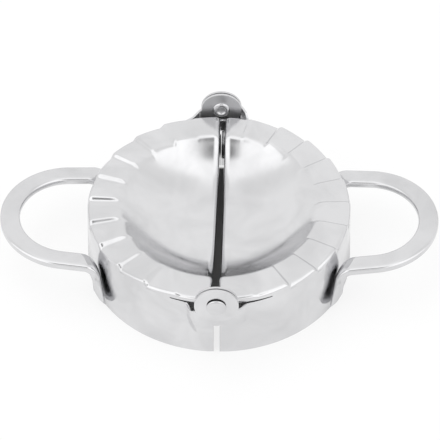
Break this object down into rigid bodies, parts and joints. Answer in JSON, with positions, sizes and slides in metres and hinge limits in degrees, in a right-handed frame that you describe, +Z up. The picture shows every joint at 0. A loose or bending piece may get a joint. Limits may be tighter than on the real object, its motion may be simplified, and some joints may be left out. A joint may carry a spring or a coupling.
{
  "type": "empanada press",
  "caption": "Hinged empanada and dumpling press of pressed stainless sheet, with a toothed crimping rim, a skirt that cuts the dough and U-shaped bar handles.",
  "frame": {"origin": "centre of the press laid open, at the level it stands on", "axes": "+Z up out of the bowls, +X out through the right handle, +Y along the hinge line to the rear ears"},
  "size_m": [0.1564, 0.104, 0.0339],
  "materials": {
    "shell_steel": "polished stainless sheet",
    "handle_steel": "polished stainless bar with rounded edges",
    "rivet_steel": "polished stainless tubular rivet"
  },
  "bodies": {
    "left_half": {"left_shell": "shell_steel", "left_handle": "handle_steel", "front_rivet": "rivet_steel", "rear_rivet": "rivet_steel"},
    "right_half": {"right_shell": "shell_steel", "right_handle": "handle_steel"}
  },
  "joints": [
    {"name": "fold", "type": "hinge", "parent": "left_half", "child": "right_half", "pos_m": [0, 0, 0.0264], "axis": [0, -1, 0], "range_deg": [0, 180]}
  ]
}
